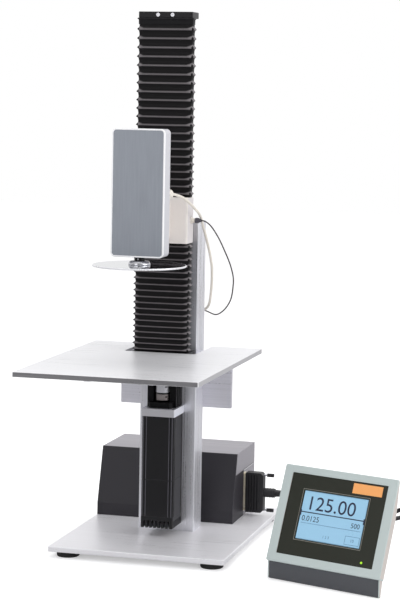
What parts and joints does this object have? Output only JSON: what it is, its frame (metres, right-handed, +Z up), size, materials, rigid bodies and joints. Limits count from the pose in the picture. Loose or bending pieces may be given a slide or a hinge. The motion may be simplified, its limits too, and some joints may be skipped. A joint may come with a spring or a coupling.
{
  "type": "universal testing machine",
  "caption": "Bench universal testing machine: spindle axis with bellows, load cell head and compression disc over a table, control box behind, touch console beside it.",
  "frame": {"origin": "middle of the machine's footprint on the bench, the console included and the cords left out", "axes": "+Z up along the spindle, +X towards the operator's right, -Y towards the operator"},
  "size_m": [0.6085, 0.583, 0.901],
  "materials": {
    "plate_paint": "satin light grey",
    "anodised": "satin anodised",
    "steel": "bright",
    "black_metal": "satin black",
    "bellows_rubber": "matt black",
    "foot_rubber": "matt black",
    "carriage_paint": "satin cream",
    "head_white": "satin white",
    "head_face": "brushed blue-grey",
    "disc_steel": "polished",
    "cream_plastic": "matt cream",
    "black_plastic": "matt black",
    "box_dark": "satin dark grey",
    "box_grey": "satin grey",
    "console_grey": "satin light grey",
    "console_base": "satin blue-grey",
    "bezel_dark": "satin dark",
    "screen_glass": "light blue display",
    "lamp_green": "lit green",
    "spider_rubber": "satin black",
    "dark_steel": "satin"
  },
  "bodies": {
    "root": {"base_plate": "plate_paint", "feet": "foot_rubber", "base_screws": "steel", "column": "anodised", "back_plate": "anodised", "table_supports": "anodised", "table_plate": "plate_paint", "table_screws": "steel", "axis_plate": "black_metal", "guide_rail": "anodised", "lower_bearing_block": "black_metal", "upper_bearing_block": "black_metal", "screw_bearings": "steel", "end_plate": "black_metal", "end_plate_screws": "steel", "upper_bellows": "bellows_rubber", "lower_bellows": "bellows_rubber", "bell_housing": "black_metal", "motor_flange": "anodised", "motor_body": "black_metal", "motor_cap": "black_metal", "box_base": "box_dark", "box_cover": "box_grey", "port_socket": "steel", "port_hood": "black_plastic", "cable_boot": "black_plastic", "console_shell": "console_grey", "console_foot": "console_base", "console_frame": "console_grey", "screen_bezel": "bezel_dark", "screen": "screen_glass", "status_lamp": "lamp_green", "console_socket": "black_plastic", "column_fittings": "black_plastic", "sensor_cable": "cream_plastic", "side_cable": "black_plastic", "console_cable": "black_plastic"},
    "carriage": {"ball_nut": "steel", "slide_block": "anodised", "carriage_bracket": "carriage_paint", "carriage_screws": "steel", "head_arm": "carriage_paint", "head_shell": "head_white", "head_front": "head_face", "head_back": "head_white", "load_cell": "anodised", "spindle": "steel", "collar": "black_metal", "disc_hub": "steel", "compression_disc": "disc_steel", "head_gland": "cream_plastic", "side_socket": "cream_plastic", "side_plug": "black_plastic"},
    "screw": {"ball_screw": "steel", "coupling_screw_half": "steel", "coupling_spider": "spider_rubber", "coupling_motor_half": "dark_steel", "rotor_shaft": "steel"},
    "upper_thumb": {"upper_thumbscrew": "black_plastic"},
    "lower_thumb": {"lower_thumbscrew": "black_plastic"}
  },
  "joints": [
    {"name": "carriage_slide", "type": "slide", "parent": "root", "child": "carriage", "axis": [0, 0, 1], "range_m": [-0.12, 0.18], "deforming": ["upper_bellows", "lower_bellows", "sensor_cable", "side_cable"]},
    {"name": "screw_spin", "type": "hinge", "parent": "root", "child": "screw", "pos_m": [-0.14374, 0.03, 0.3], "axis": [0, 0, 1], "range_deg": [-5000, 7000]},
    {"name": "upper_thumb_spin", "type": "hinge", "parent": "root", "child": "upper_thumb", "pos_m": [-0.04574, 0.2175, 0.0925], "axis": [1, 0, 0], "continuous": true},
    {"name": "lower_thumb_spin", "type": "hinge", "parent": "root", "child": "lower_thumb", "pos_m": [-0.04574, 0.2175, 0.0301], "axis": [1, 0, 0], "continuous": true}
  ],
  "couplings": [
    {"joint": "screw_spin", "follows": "carriage_slide", "rad_per_m": 628.32}
  ]
}
